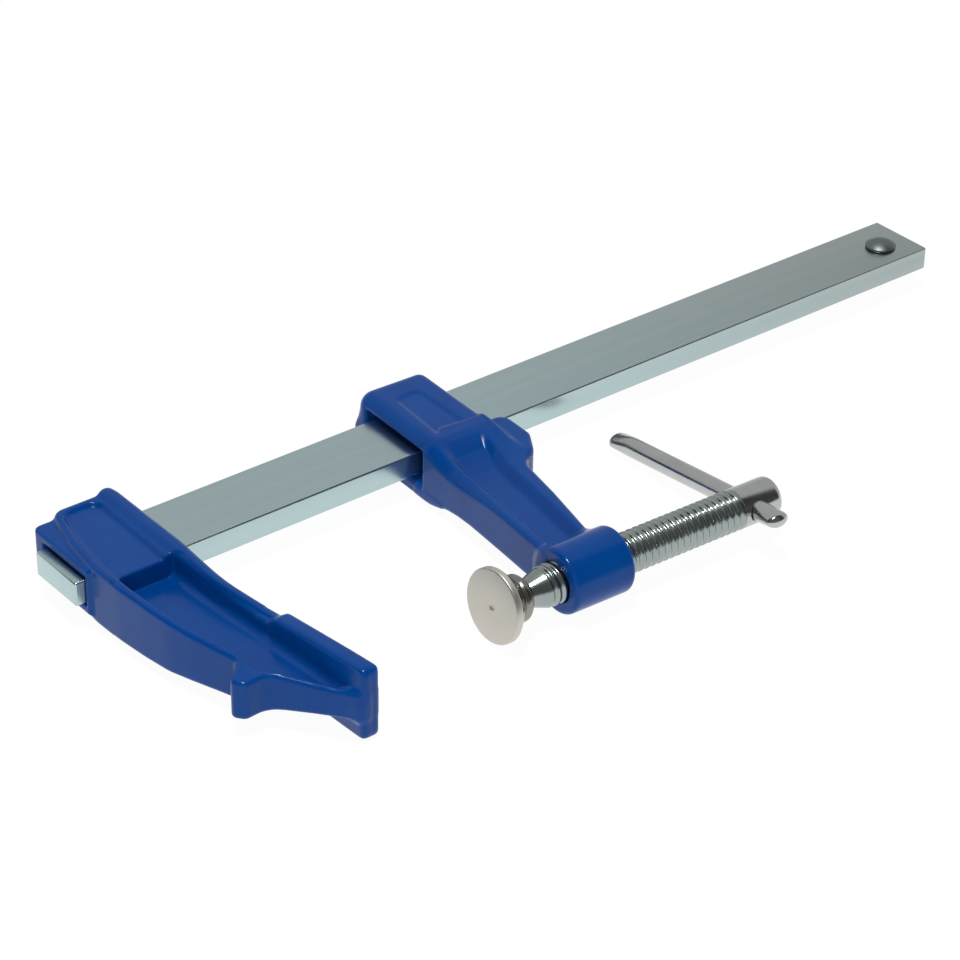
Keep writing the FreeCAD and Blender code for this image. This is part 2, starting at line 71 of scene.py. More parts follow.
def newPiece(name, mesh, body, material, replaced):
    piece = bpy.data.objects.new(name, mesh)
    bpy.context.collection.objects.link(piece)
    mesh.materials.clear()
    mesh.materials.append(material)
    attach(piece, body)
    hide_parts(*replaced)
    return piece


# skin a list of closed rings that all have the same number of points, and close both ends
def ringsMesh(name, rings):
    count = len(rings[0])
    points = [tuple(point) for ring in rings for point in ring]
    faces = []
    for i in range(len(rings) - 1):
        low, high = i * count, (i + 1) * count
        for j in range(count):
            k = (j + 1) % count
            faces.append((low + j, low + k, high + k, high + j))
    last = (len(rings) - 1) * count
    faces.append(tuple(reversed(range(count))))
    faces.append(tuple(range(last, last + count)))
    mesh = bpy.data.meshes.new(name)
    mesh.from_pydata(points, [], faces)
    mesh.update()
    return mesh


def smoothShading(mesh):
    for polygon in mesh.polygons:
        polygon.use_smooth = True
    return mesh


# one ring of points about the local X axis, with its radius in millimetres at each angle
def ringAt(placement, x, radiusAt, steps):
    ring = []
    for step in range(steps):
        angle = 2 * math.pi * step / steps
        radius = radiusAt(angle)
        local = Vector((x, radius * math.cos(angle), radius * math.sin(angle))) * millimetre
        ring.append(placement @ local)
    return ring


# turn a profile of (x, radius) in millimetres about the local X axis
def lathe(name, profile, placement, steps):
    rings = [ringAt(placement, x, lambda angle: radius, steps) for x, radius in profile]
    return ringsMesh(name, rings)


# points of an arc that rounds one corner of a profile
def roundedCorner(before, corner, after, radius, steps=4):
    before, corner, after = Vector(before), Vector(corner), Vector(after)
    back, ahead = (before - corner).normalized(), (after - corner).normalized()
    half = back.angle(ahead) / 2
    reach = min(radius / math.tan(half), (before - corner).length * 0.49, (after - corner).length * 0.49)
    start, end = corner + back * reach, corner + ahead * reach
    points = []
    for step in range(steps + 1):
        t = step / steps
        points.append(tuple(start.lerp(corner, t).lerp(corner.lerp(end, t), t)))
    return points


# round the corners of an (x, radius, rounding) profile that starts and ends at the axis
def roundedProfile(corners):
    points = [corners[0][:2]]
    for before, corner, after in zip(corners, corners[1:], corners[2:]):
        if corner[2]:
            points += roundedCorner(before[:2], corner[:2], after[:2], corner[2])
        else:
            points.append(corner[:2])
    points.append(corners[-1][:2])
    return points


def linear(hexColour):
    channels = [int(hexColour[i:i + 2], 16) / 255 for i in (1, 3, 5)]
    return tuple(c / 12.92 if c <= 0.04045 else ((c + 0.055) / 1.055) ** 2.4 for c in channels) + (1.0,)


# add a node, set its properties, sockets or ramp stops, and link its inputs from (node, output) pairs
def addNode(tree, kind, settings=None, links=None):
    node = tree.nodes.new(kind)
    for key, value in (settings or {}).items():
        if key == "stops":
            elements = node.color_ramp.elements
            while len(elements) < len(value):
                elements.new(0.5)
            for element, (place, colour) in zip(elements, value):
                element.position = place
                element.color = colour
        elif isinstance(key, str) and hasattr(node, key):
            setattr(node, key, value)
        else:
            node.inputs[key].default_value = value
    for key, (source, output) in (links or {}).items():
        tree.links.new(source.outputs[output], node.inputs[key])
    return node


def newMaterial(name):
    material = bpy.data.materials.new(name)
    material.use_nodes = True
    tree = material.node_tree
    tree.nodes.clear()
    output = tree.nodes.new("ShaderNodeOutputMaterial")
    return material, tree, output


def grey(value):
    return (value, value, value, 1.0)


# stoving enamel over cast iron: a deep blue gloss that softly follows the sand-cast skin under it
def glossEnamel():
    material, tree, output = newMaterial("blueStovingEnamel")
    place = addNode(tree, "ShaderNodeTexCoord")
    sand = addNode(tree, "ShaderNodeTexNoise", {"Scale": 250.0, "Detail": 1.0, "Roughness": 0.4},
                   {"Vector": (place, "Object")})                       # 4 mm waves of the mould's sand
    flow = addNode(tree, "ShaderNodeTexNoise", {"Scale": 60.0, "Detail": 1.0},
                   {"Vector": (place, "Object")})                       # 17 mm, where it ran thicker
    tint = addNode(tree, "ShaderNodeValToRGB",
                   {"stops": [(0.3, linear("#003f8a")), (0.7, linear("#00448f"))]}, {"Fac": (flow, "Fac")})
    gloss = addNode(tree, "ShaderNodeValToRGB", {"stops": [(0.3, grey(0.17)), (0.7, grey(0.24))]},
                    {"Fac": (flow, "Fac")})
    bump = addNode(tree, "ShaderNodeBump", {"Strength": 0.05, "Distance": 0.0006}, {"Height": (sand, "Fac")})
    skin = addNode(tree, "ShaderNodeBsdfPrincipled", {"IOR": 1.5, "Specular IOR Level": 0.2},
                   {"Base Color": (tint, "Color"), "Roughness": (gloss, "Color"), "Normal": (bump, "Normal")})
    tree.links.new(skin.outputs["BSDF"], output.inputs["Surface"])
    return material


# zinc plate on drawn flat bar: a soft sheen with long streaks from the drawing die, and painted shade that
# makes it greyer to the far end
def platedBar():
    material, tree, output = newMaterial("zincPlatedBar")
    place = addNode(tree, "ShaderNodeTexCoord")
    along = addNode(tree, "ShaderNodeMapping", {"Scale": (4.0, 260.0, 260.0)}, {"Vector": (place, "Object")})
    streak = addNode(tree, "ShaderNodeTexNoise", {"Scale": 1.0, "Detail": 3.0, "Roughness": 0.5},
                     {"Vector": (along, "Vector")})                     # 4 mm wide, 250 mm long
    cloud = addNode(tree, "ShaderNodeTexNoise", {"Scale": 28.0, "Detail": 2.0},
                    {"Vector": (place, "Object")})                      # 36 mm, from the plating bath
    parts = addNode(tree, "ShaderNodeSeparateXYZ", None, {"Vector": (place, "Object")})
    # painted shade: the colour blends from the near stops to the greyer far stops along the bar
    length = addNode(tree, "ShaderNodeMapRange", {"From Min": 0.15, "From Max": 0.36},
                     {"Value": (parts, "X")})                           # metres along the bar
    near = addNode(tree, "ShaderNodeValToRGB",
                   {"stops": [(0.3, linear("#b5cccf")), (0.7, linear("#bbcfd1"))]}, {"Fac": (streak, "Fac")})
    far = addNode(tree, "ShaderNodeValToRGB",
                  {"stops": [(0.3, linear("#a4b1b1")), (0.7, linear("#aab5b4"))]}, {"Fac": (streak, "Fac")})
    tint = addNode(tree, "ShaderNodeMix", {"data_type": "RGBA"},
                   {"Factor": (length, "Result"), 6: (near, "Color"), 7: (far, "Color")})
    gloss = addNode(tree, "ShaderNodeValToRGB", {"stops": [(0.3, grey(0.23)), (0.7, grey(0.27))]},
                    {"Fac": (cloud, "Fac")})
    bump = addNode(tree, "ShaderNodeBump", {"Strength": 0.012, "Distance": 0.0001},
                   {"Height": (streak, "Fac")})
    skin = addNode(tree, "ShaderNodeBsdfPrincipled", {"Metallic": 1.0},
                   {"Base Color": (tint, 2), "Roughness": (gloss, "Color"), "Normal": (bump, "Normal")})
    tree.links.new(skin.outputs["BSDF"], output.inputs["Surface"])
    return material


# turned and rolled steel, plated or bare: an even metal that is cloudy in places, 11 mm across
def cloudySteel(name, dark, light, low, high):
    material, tree, output = newMaterial(name)
    place = addNode(tree, "ShaderNodeTexCoord")
    cloud = addNode(tree, "ShaderNodeTexNoise", {"Scale": 90.0, "Detail": 3.0}, {"Vector": (place, "Object")})
    tint = addNode(tree, "ShaderNodeValToRGB", {"stops": [(0.3, linear(dark)), (0.7, linear(light))]},
                   {"Fac": (cloud, "Fac")})
    gloss = addNode(tree, "ShaderNodeValToRGB", {"stops": [(0.3, grey(low)), (0.7, grey(high))]},
                    {"Fac": (cloud, "Fac")})
    skin = addNode(tree, "ShaderNodeBsdfPrincipled", {"Metallic": 1.0},
                   {"Base Color": (tint, "Color"), "Roughness": (gloss, "Color")})
    tree.links.new(skin.outputs["BSDF"], output.inputs["Surface"])
    return material


enamel = glossEnamel()
barZinc = platedBar()
# bright zinc on the spindle's head and the tommy bar: nearly a mirror
screwZinc = cloudySteel("brightZincScrew", "#b6bab8", "#c4c7c4", 0.16, 0.24)
# painted shade: the same bright zinc on the cut thread, painted a shade darker
shadedThreadZinc = cloudySteel("brightZincThreadShaded", "#98a2a1", "#a6afad", 0.2, 0.27)
# zinc that the hammer dulled on the rivet: dark and soft
rivetZinc = cloudySteel("zincRivet", "#6e7676", "#7b8282", 0.38, 0.46)
# bare steel turned with a fine feed, on the pad's disc: pale, warm and satin
padSteel = cloudySteel("satinTurnedSteel", "#cecabf", "#d6d2c8", 0.42, 0.5)
# painted shade: the same steel on the hub behind it, painted darker for the dark side it faces, and sharper
shadedHubSteel = cloudySteel("brightTurnedSteelShaded", "#8d8a82", "#9a978f", 0.2, 0.3)
# blued spring wire in the hub's mouth: a dull grey
ringSteel = cloudySteel("springSteelRing", "#5a5a5c", "#6a6a6c", 0.3, 0.4)
print("materials made")


castingStep = 0.5       # millimetres between the points where a casting's form is sampled


# where both forms are, with the edge between them rounded
def meet(a, b, radius):
    corner = np.hypot(np.maximum(a + radius, 0), np.maximum(b + radius, 0))
    return np.minimum(-radius, np.maximum(a, b)) + corner


# both forms together, with a fillet of the given radius where they meet
def join(a, b, radius):
    return -meet(-a, -b, radius)


# turn (x, y, radius) corners into the points of a closed outline
def roundedOutline(corners, steps=10):
    points = []
    for i, (x, y, radius) in enumerate(corners):
        before, after = corners[i - 1], corners[(i + 1) % len(corners)]
        if not radius:
            points.append((x, y))
            continue
        corner = Vector((x, y))
        back, ahead = (Vector(before[:2]) - corner).normalized(), (Vector(after[:2]) - corner).normalized()
        half = back.angle(ahead) / 2
        reach = radius / math.tan(half)
        centre = corner + (back + ahead).normalized() * (radius / math.sin(half))
        start, end = corner + back * reach - centre, corner + ahead * reach - centre
        sweep = start.angle_signed(end)
        for step in range(steps + 1):
            turn = Matrix.Rotation(-sweep * step / steps, 2)
            points.append(tuple(centre + turn @ start))
    return np.array(points)


# distance to a rounded outline, negative inside it
def outlineField(corners, x, y):
    points = roundedOutline(corners)
    nearest = np.full(np.broadcast(x, y).shape, 1e9)
    inside = np.zeros(nearest.shape, bool)
    for (ax, ay), (bx, by) in zip(points, np.roll(points, -1, axis=0)):
        ex, ey = bx - ax, by - ay
        length = ex * ex + ey * ey
        if length < 1e-12:
            continue
        t = np.clip(((x - ax) * ex + (y - ay) * ey) / length, 0, 1)
        nearest = np.minimum(nearest, (x - ax - t * ex) ** 2 + (y - ay - t * ey) ** 2)
        if ay != by:
            crosses = ((y >= ay) != (y >= by)) & (x < ax + (y - ay) * ex / ey)
            inside ^= crosses
    distance = np.sqrt(nearest)
    return np.where(inside, -distance, distance)


# the height at a place between listed places
def lineHeight(places, heights, at):
    return np.interp(at, places, heights)


# an S-shaped rise from 0 to 1 as t does the same
def smoothStep(t):
    t = np.clip(t, 0, 1)
    return t * t * (3 - 2 * t)


# 1 well inside a region, 0 outside it, with an S-shaped slope of the given width between
def wall(distance, width):
    return smoothStep(0.5 - distance / width)


# distance to an upright rectangle of the plane
def boxField(low, high, x, y):
    cx, cy = (low[0] + high[0]) / 2, (low[1] + high[1]) / 2
    dx = np.abs(x - cx) - (high[0] - low[0]) / 2
    dy = np.abs(y - cy) - (high[1] - low[1]) / 2
    return np.minimum(np.maximum(dx, dy), 0) + np.hypot(np.maximum(dx, 0), np.maximum(dy, 0))


# the points of a box where a casting's form is sampled, with a margin of two cells
def samples(low, high):
    margin = 2.2 * castingStep
    axes = [np.arange(a - margin, b + margin, castingStep) for a, b in zip(low, high)]
    return axes[0][:, None, None], axes[1][None, :, None], axes[2][None, None, :]


# wrap a mesh round the places where a sampled field is negative, one point in each cell it crosses
def skinField(name, field, axes, placement):
    inside = field < 0
    cells = tuple(n - 1 for n in field.shape)
    total = np.zeros(cells + (3,))
    hits = np.zeros(cells)
    for axis in range(3):
        ahead = [slice(None)] * 3
        ahead[axis] = slice(1, None)
        behind = [slice(None)] * 3
        behind[axis] = slice(None, -1)
        a, b = field[tuple(behind)], field[tuple(ahead)]
        crosses = (a < 0) != (b < 0)
        share = np.where(crosses, a / np.where(crosses, a - b, 1), 0)
        others = [k for k in range(3) if k != axis]
        for first in (0, 1):
            for second in (0, 1):
                part = [slice(None)] * 3
                part[others[0]] = slice(first, first + cells[others[0]])
                part[others[1]] = slice(second, second + cells[others[1]])
                hit = crosses[tuple(part)]
                hits += hit
                total[..., axis] += np.where(hit, share[tuple(part)], 0)
                total[..., others[0]] += hit * first
                total[..., others[1]] += hit * second
    used = hits > 0
    number = np.full(cells, -1)
    number[used] = np.arange(used.sum())
    corner = np.stack(np.meshgrid(*[np.arange(n) for n in cells], indexing="ij"), axis=-1)[used]
    origin = np.array([axis.flat[0] for axis in axes])
    points = (corner + total[used] / hits[used][:, None]) * castingStep + origin
    faces = []
    for axis in range(3):
        u, v = [(1, 2), (2, 0), (0, 1)][axis]
        ahead = [slice(1, -1)] * 3
        behind = [slice(1, -1)] * 3
        ahead[axis], behind[axis] = slice(1, None), slice(None, -1)
        a, b = inside[tuple(behind)], inside[tuple(ahead)]
        for flip in (False, True):
            where = np.argwhere(a & ~b if not flip else ~a & b)
            start = np.array([1, 1, 1])
            start[axis] = 0
            where = where + start
            quad = []
            for du, dv in ((0, 0), (-1, 0), (-1, -1), (0, -1)):
                cell = where.copy()
                cell[:, u] += du
                cell[:, v] += dv
                quad.append(number[tuple(cell.T)])
            quad = np.stack(quad, axis=1)
            faces.append(quad[:, ::-1] if flip else quad)
    faces = np.concatenate(faces)
    mesh = bpy.data.meshes.new(name)
    mesh.from_pydata((points * millimetre).tolist(), [], faces.tolist())
    mesh.transform(placement)
    mesh.update()
    return smoothShading(mesh)


# the fixed arm in millimetres; corners of outlines are (x, y, rounding)
fixedArmSettings = {
    "low": (-43.0, -18.6, -15.0),
    "high": (1.65, 136.0, 15.0),
    "outerSide": [(-41.7, 95, 40), (-41.3, 79, 60), (-40.2, 65.2, 60), (-38.7, 52.3, 60), (-36.1, 41.2, 60),
                  (-33.1, 30.8, 30)],
    "spur": [(-30.4, 21, 4), (-39.0, 13.6, 2.6), (-35.6, 8.6, 3.0), (-26.0, 9.2, 7)],
    "tip": [(-6.6, -18.4, 3), (0.5, -16, 1)],
    "throatSide": [(-8.6, 60, 90), (-7.7, 90, 60)],
    "back": [(-7.7, 134.7, 5), (-33.5, 134.7, 5), (-39.0, 115, 30)],
    "edge": 1.7,                # rounding of the outer edges
    "web": 3.0,                 # half thickness between the rims
    "webEnd": 85.5,             # where the head begins
    "rimAt": [-18, -10.2, -3.2, 4.6, 9, 20, 30.8, 41.2, 52.3, 65, 79, 94],
    "rimTop": [5.6, 5.8, 6.3, 7.1, 7.8, 8.6, 9.3, 10.0, 11.0, 11.5, 11.8, 12.0],
    "spurPlace": (-36, 13),
    "spurReach": 7.5,           # the web stays this far from the spur
    "headTop": 12.1,
    "headField": [(-38.4, 80, 1), (-37.6, 95, 20), (-35.5, 112.6, 30), (-31.5, 131, 5), (-16.6, 131, 4),
                  (-17.4, 80, 1)],
    "fieldDepth": 1.6,
    "toe": 5.0,                 # lean of the jaw, degrees
    "jawTip": -18.6,
    "jawFoot": 28.5,
    "jawThick": 6.8,
    "jawTop": [15.3, 12.9],     # half height at its tip and foot
    "flangeEnd": 136.2,
    "flangeTop": [9.3, 13, 13],
    "collar": [(-43.0, 95.8, 1.5), (-30, 95.8, 4), (-22.0, 133.5, 3), (-43.0, 133.5, 3)],
    "collarTop": 9.5,
    "socketFront": 94.95,
    "socketBack": 125.05,
    "socketStep": 3.35,         # its front wall steps in with the rail's end
    "socketHalf": 5.05,
    "socketMouth": -38.0,
}


def jawFace(y):
    return -y * math.tan(math.radians(fixedArmSettings["toe"]))


# head, curved web between two rims, spur, and the tall flange that ends in the jaw plate
def makeFixedCasting():
    s = fixedArmSettings
    x, y, z = samples(s["low"], s["high"])
    flatX, flatY, height = x[:, :, 0], y[:, :, 0], np.abs(z)
    foot, tip = s["jawFoot"], s["jawTip"]
    plan = outlineField(s["outerSide"] + s["spur"] + s["tip"] + [(jawFace(foot) - 0.6, foot, 12)]
                        + s["throatSide"] + s["back"], flatX, flatY)

    # the rim follows the outer side and runs up on the spur, and the web lies low inside it
    rimTop = lineHeight(s["rimAt"], s["rimTop"], flatY)
    rimWidth = lineHeight([-18, 10, 20, 43, 75, 90], [2.0, 2.2, 2.4, 2.6, 3.0, 3.4], flatY)
    spurX, spurY = s["spurPlace"]
    trough = meet(plan + rimWidth, s["spurReach"] - np.hypot(flatX - spurX, flatY - spurY), 3.0)
    trough = meet(trough, flatY - s["webEnd"], 3.5)
    slope = 2.4 - 1.1 * smoothStep((flatY - 76) / 8)
    field = outlineField(s["headField"], flatX, flatY)
    headTop = s["headTop"] - s["fieldDepth"] * wall(field, 2.2)
    high = rimTop + (headTop - rimTop) * smoothStep((flatY - s["webEnd"] + 3) / 2)
    surface = high + (s["web"] - high) * wall(trough + slope / 2, slope)
    casting = meet(plan[:, :, None], height - surface[:, :, None], s["edge"])

    # the flange and the jaw plate stand higher and lean out towards their foot
    thick, end = s["jawThick"], s["flangeEnd"]
    flange = outlineField([
        (-7.7, end, 2.5), (-7.7, 90, 60), (-8.5, 60, 90), (jawFace(foot), foot, 6), (jawFace(tip), tip, 2.3),
        (jawFace(tip) - thick, tip, 2.6), (jawFace(foot) - thick, 30.0, 14), (-11.4, 53, 60), (-13.1, 88, 60),
        (-13.1, end, 3)], flatX, flatY)
    flangeTop = s["flangeTop"][0]
    jawTop = lineHeight([tip, foot], s["jawTop"], flatY)
    jawShare = 1 - wall(-(flatY - 30.8), 6.0)
    crest = np.where(flatY < 40, flangeTop + (jawTop - flangeTop) * jawShare,
                     lineHeight([33.5, 90, 140], s["flangeTop"], flatY))
    middle = lineHeight([-18, 28, 60, 90], [-2.0, -6.0, -10.0, -10.4], flatY)
    lean = 0.16 * np.clip((middle - flatX) / 2, 0, 1) * np.clip((132 - flatY) / 8, 0, 1)
    lean = lean[:, :, None] * np.maximum(crest[:, :, None] - height, 0)
    flangeForm = meet(flange[:, :, None] - lean, height - crest[:, :, None], 1.8)
    nose = boxField((-14.8, -11.2), (200.0, 11.2), y, z) - 3.8
    flangeForm = np.maximum(meet(flangeForm, nose, 1.4), y - end)
    casting = join(casting, flangeForm, 2.8)

    collar = outlineField(s["collar"], flatX, flatY)
    casting = join(casting, meet(collar[:, :, None], height - s["collarTop"], 1.0), 1.6)

    # the rail's socket has a flared mouth on the outer side
    flare = 1.25 * np.clip((s["socketMouth"] - x) / 3.0, 0, 1) ** 1.5
    front = s["socketFront"] + s["socketStep"] * wall(x + 38.7, 0.3)
    across = np.maximum(front - y, y - s["socketBack"] - flare)
    socket = np.maximum(across, height - s["socketHalf"] - flare)
    casting = meet(casting, -socket, 0.7)
    return skinField("fixedArmCasting", casting, (x, y, z), Matrix.Identity(4))


# the sliding arm in millimetres, as it stands when it doesn't lean
slidingArmSettings = {
    "low": (-24.6, -13.2, -13.3),
    "high": (21.4, 136.2, 13.3),
    "plan": [(-20.5, 96, 3), (-20.7, 74, 20), (-21.2, 57, 60), (-22.2, 37, 60), (-24.2, 4, 4), (-2.7, 4, 4),
             (4.1, 38, 60), (7.9, 62, 9), (15.5, 66.0, 9), (21.4, 76.5, 5), (21.4, 93.7, 5), (6, 93.7, 2)],
    "edge": 2.0,
    "sideAt": [4, 27, 37, 47, 57, 74, 93],
    "side": [-24.2, -22.8, -22.2, -21.6, -21.0, -20.7, -20.5],
    "rightAt": [0, 11, 36.5, 62.5, 74, 84, 96],
    "rightFoot": [-7.0, -6.1, -3.0, -0.4, 1.6, 3.0, 3.6],
    "rimAt": [0, 58, 66, 72, 78, 83, 87],
    "rimTop": [8.7, 8.7, 9.1, 9.9, 11.2, 12.5, 13.1],
    "webAt": [0, 62, 68, 73, 77.5, 81, 84, 87],
    "webTop": [4.8, 4.9, 5.5, 6.7, 8.6, 10.7, 12.4, 13.1],
    "lobeTop": 9.3,
    "headTop": 13.1,
    "headMiddle": -4.85,        # along the rail
    "headHalf": 15.65,
    "headProfile": [(77.2, -13.3, 5), (135.4, -13.3, 2), (135.4, 13.1, 6), (88.0, 13.1, 1), (88.0, 0, 1),
                    (75.4, 0, 2), (75.4, -9.0, 2)],
    "headField": [(-12.2, 90.8, 2.5), (1.8, 88.8, 2.5), (0.6, 122.2, 3), (-10.8, 120.8, 3)],
    "fieldDepth": 0.8,
    "bossRadius": 13.0,
    "bossMiddle": -10.85,
    "bossHalf": 13.7,
    "bossEdge": 1.8,
    "boreRadius": 8.08,
    "slotFront": 93.8,
    "slotBack": 126.6,
    "slotHalf": 6.3,
    "slotFlare": 2.2,
}


# slotted head round the rail, lobe beside it, arm with a shallow trough, and the spindle's boss
def makeSlidingCasting():
    s = slidingArmSettings
    x, y, z = samples(s["low"], s["high"])
    flatX, flatY, height = x[:, :, 0], y[:, :, 0], np.abs(z)
    plan = outlineField(s["plan"], flatX, flatY)

    # the arm's top is level with its sides and dips to the web between two rims, open to the head's saddle
    side = lineHeight(s["sideAt"], s["side"], flatY)
    rightFoot = lineHeight(s["rightAt"], s["rightFoot"], flatY)
    dip = smoothStep((flatX - side - 3.6) / 4.4) * smoothStep(0.5 + (rightFoot - flatX) / 4.4)
    rim = lineHeight(s["rimAt"], s["rimTop"], flatY)
    web = lineHeight(s["webAt"], s["webTop"], flatY)
    surface = rim + (web - rim) * dip
    surface = surface + (np.minimum(surface, s["lobeTop"]) - surface) * smoothStep((flatX - 10.0) / 4.0)
    leftTop = smoothStep((-x - 8) / 5) * smoothStep((z + 3) / 6)
    edge = s["edge"] + 5.0 * smoothStep((y - 36) / 44) * leftTop
    casting = meet(plan[:, :, None], height - surface[:, :, None], edge)

    # the head reaches lower than the arm, with a lip under its front
    top = s["headTop"]
    profile = outlineField(s["headProfile"], y, z)
    across = np.abs(x - s["headMiddle"]) - s["headHalf"]
    rounding = 1.3 + 2.4 * smoothStep(z / 8) + 3.0 * leftTop
    head = meet(profile + 0 * x, across + 0 * y + 0 * z, rounding)
    field = outlineField(s["headField"], flatX, flatY)
    headTop = np.where(flatY > 87, top, np.minimum(surface, top)) - s["fieldDepth"] * wall(field, 2.6)
    head = meet(head, height - headTop[:, :, None], 0.6)
    lobeFillet = 2.6 * smoothStep((x - 8) / 2.5)
    lipFillet = 1.0 * smoothStep((-z - 7) / 2) * smoothStep((8 - x) / 2)
    casting = join(casting, head, 0.02 + lobeFillet + lipFillet + 0 * y)

    boss = np.hypot(y, z) - s["bossRadius"]
    length = np.abs(x - s["bossMiddle"]) - s["bossHalf"]
    boss = meet(boss + 0 * x, length + 0 * y + 0 * z, s["bossEdge"])
    casting = join(casting, boss, 2.4)

    # the slot for the rail, its flared mouth, and the spindle's bore
    flare = s["slotFlare"] * np.clip((-12.0 - x) / 8.5, 0, 1) ** 2
    across = np.maximum(s["slotFront"] - y - 2.2 * flare, y - s["slotBack"] - flare * 0.6)
    slot = np.maximum(across, height - s["slotHalf"] - flare)
    casting = meet(casting, -slot, 1.0)
    bore = np.hypot(y, z) - s["boreRadius"]
    casting = np.maximum(casting, -bore - 0 * x)
    return skinField("slidingArmCasting", casting, (x, y, z), armFrame)


newPiece("fixed_arm_casting", makeFixedCasting(), "rail", enamel, ["fixed_arm"])
newPiece("sliding_arm_casting", makeSlidingCasting(), "sliding_arm", enamel, ["sliding_arm"])
print("castings poured")


railSettings = {
    "front": 95.0,
    "back": 125.0,
    "half": 5.0,
    "left": -47.0,
    "right": 379.5,
    "shoulder": -38.5,          # where the stepped end begins
    "step": 3.5,
    "edge": 0.8,
}


def makeRailBar():
    s = railSettings
    outline = [(s["left"], s["front"] + s["step"]), (s["shoulder"], s["front"] + s["step"]),
               (s["shoulder"], s["front"]), (s["right"], s["front"]), (s["right"], s["back"]),
               (s["left"], s["back"])]
    shape = bmesh.new()
    floor = [shape.verts.new(Vector((x, y, -s["half"])) * millimetre) for x, y in outline]
    face = shape.faces.new(floor)
    raised = bmesh.ops.extrude_face_region(shape, geom=[face])["geom"]
    lifted = [item for item in raised if isinstance(item, bmesh.types.BMVert)]
    bmesh.ops.translate(shape, verts=lifted, vec=Vector((0, 0, 2 * s["half"])) * millimetre)
    bmesh.ops.recalc_face_normals(shape, faces=shape.faces)
    bmesh.ops.bevel(shape, geom=list(shape.edges), offset=s["edge"] * millimetre, segments=4, profile=0.5,
                    affect="EDGES")
    mesh = bpy.data.meshes.new("railBar")
    shape.to_mesh(mesh)
    shape.free()
    return mesh


# smooth shading that breaks at edges sharper than an angle
def shadeByAngle(mesh, degrees=35):
    smoothShading(mesh)
    shape = bmesh.new()
    shape.from_mesh(mesh)
    for edge in shape.edges:
        if len(edge.link_faces) == 2 and edge.calc_face_angle(0) > math.radians(degrees):
            edge.smooth = False
    shape.to_mesh(mesh)
    shape.free()
    return mesh


newPiece("rail_bar", shadeByAngle(makeRailBar()), "rail", barZinc, ["rail"])

stopSettings = {
    "x": 364.5,
    "y": 107.8,
    "head": 6.5,                # radius
    "rise": 3.4,
    "rim": 0.9,
    "shank": 4.0,
    "foot": 6.0,
    "footRise": 2.2,
    "soft": 0.3,                # hammered edges
}


# a domed head on the rail, its shank through it, and a flatter head below
def makeStopRivet():
    s = stopSettings
    half, soft = railSettings["half"], s["soft"]
    rise = s["rise"] - s["rim"]
    dome = (s["head"] ** 2 + rise ** 2) / (2 * rise)
    widest = math.asin(s["head"] / dome)
    top = half + s["rise"]
    profile = [(top, 0.02)]
    for step in range(1, 17):
        lean = widest * step / 16
        profile.append((top - dome * (1 - math.cos(lean)), dome * math.sin(lean)))
    profile += [(half + soft, s["head"]), (half, s["head"] - soft), (half, s["shank"]), (-half, s["shank"]),
                (-half, s["foot"] - soft), (-half - soft, s["foot"]), (-half - s["rim"], s["foot"]),
                (-half - s["footRise"] + soft, s["foot"] * 0.78), (-half - s["footRise"], s["foot"] * 0.66),
                (-half - s["footRise"], 0.02)]
    upright = shifted(s["x"], s["y"], 0) @ turned(-90, "Y")
    return shadeByAngle(lathe("stopRivet", profile, upright, 64), 50)


newPiece("stop_rivet", makeStopRivet(), "rail", rivetZinc, ["end_stop"])
print("rail and end stop made")


screwSettings = {
    "radius": 8.0,
    "pitch": 3.0,
    "depth": 0.7,
    "crest": 0.26,              # shares of the pitch
    "root": 0.2,
    "flankRound": 0.35,
    "ball": 5.25,
    "neck": 3.8,
    "coneStart": -39.0,
    "coneFoot": 5.05,
    "coneAngle": 19.5,
    "threadEnd": 59.0,
    "runOut": 2.4,
    "headEnd": 77.5,
    "crown": 1.7,
    "tommyAt": 65.8,
    "holeRadius": 4.08,
    "samples": 12,              # rings in one pitch
    "around": 72,
}


# how deep the thread is at a phase of 0 to 1 along one pitch: flat crest, sloping flank, flat root
def threadDepth(phase):
    s = screwSettings
    flank = (1 - s["crest"] - s["root"]) / 2
    away = abs((phase % 1.0) - 0.5)                  # 0 at the root's middle, 0.5 at the crest's middle
    rise = min(1.0, max(0.0, (away - s["root"] / 2) / flank))
    rounded = 3 * rise ** 2 - 2 * rise ** 3
    return s["depth"] * (1 - rounded * s["flankRound"] - rise * (1 - s["flankRound"]))


def screwRadius(x, angle):
    s = screwSettings
    cone = s["coneFoot"] + (x - s["coneStart"] - 0.6) * math.tan(math.radians(s["coneAngle"]))
    fade = min(1.0, max(0.0, (s["threadEnd"] - x) / s["runOut"]))
    thread = s["radius"] - fade * threadDepth(x / s["pitch"] - angle / (2 * math.pi))
    return max(s["neck"], min(cone, thread))


# ball, neck, cone and thread in one skin
def makeScrew():
    s = screwSettings
    around = s["around"]
    rings = []
    centre = armSettings["ballCentre"]
    last = math.pi - math.asin(s["neck"] / s["ball"])
    for step in range(1, 15):
        lean = last * step / 14
        rings.append(ringAt(screwFrame, centre - s["ball"] * math.cos(lean),
                            lambda angle: s["ball"] * math.sin(lean), around))
    rings.append(ringAt(screwFrame, s["coneStart"], lambda angle: s["neck"], around))
    x = s["coneStart"] + 0.6
    while x < s["threadEnd"] + 0.5:
        rings.append(ringAt(screwFrame, x, lambda angle: screwRadius(x, angle), around))
        x += s["pitch"] / s["samples"]
    return smoothShading(ringsMesh("spindleScrew", rings))


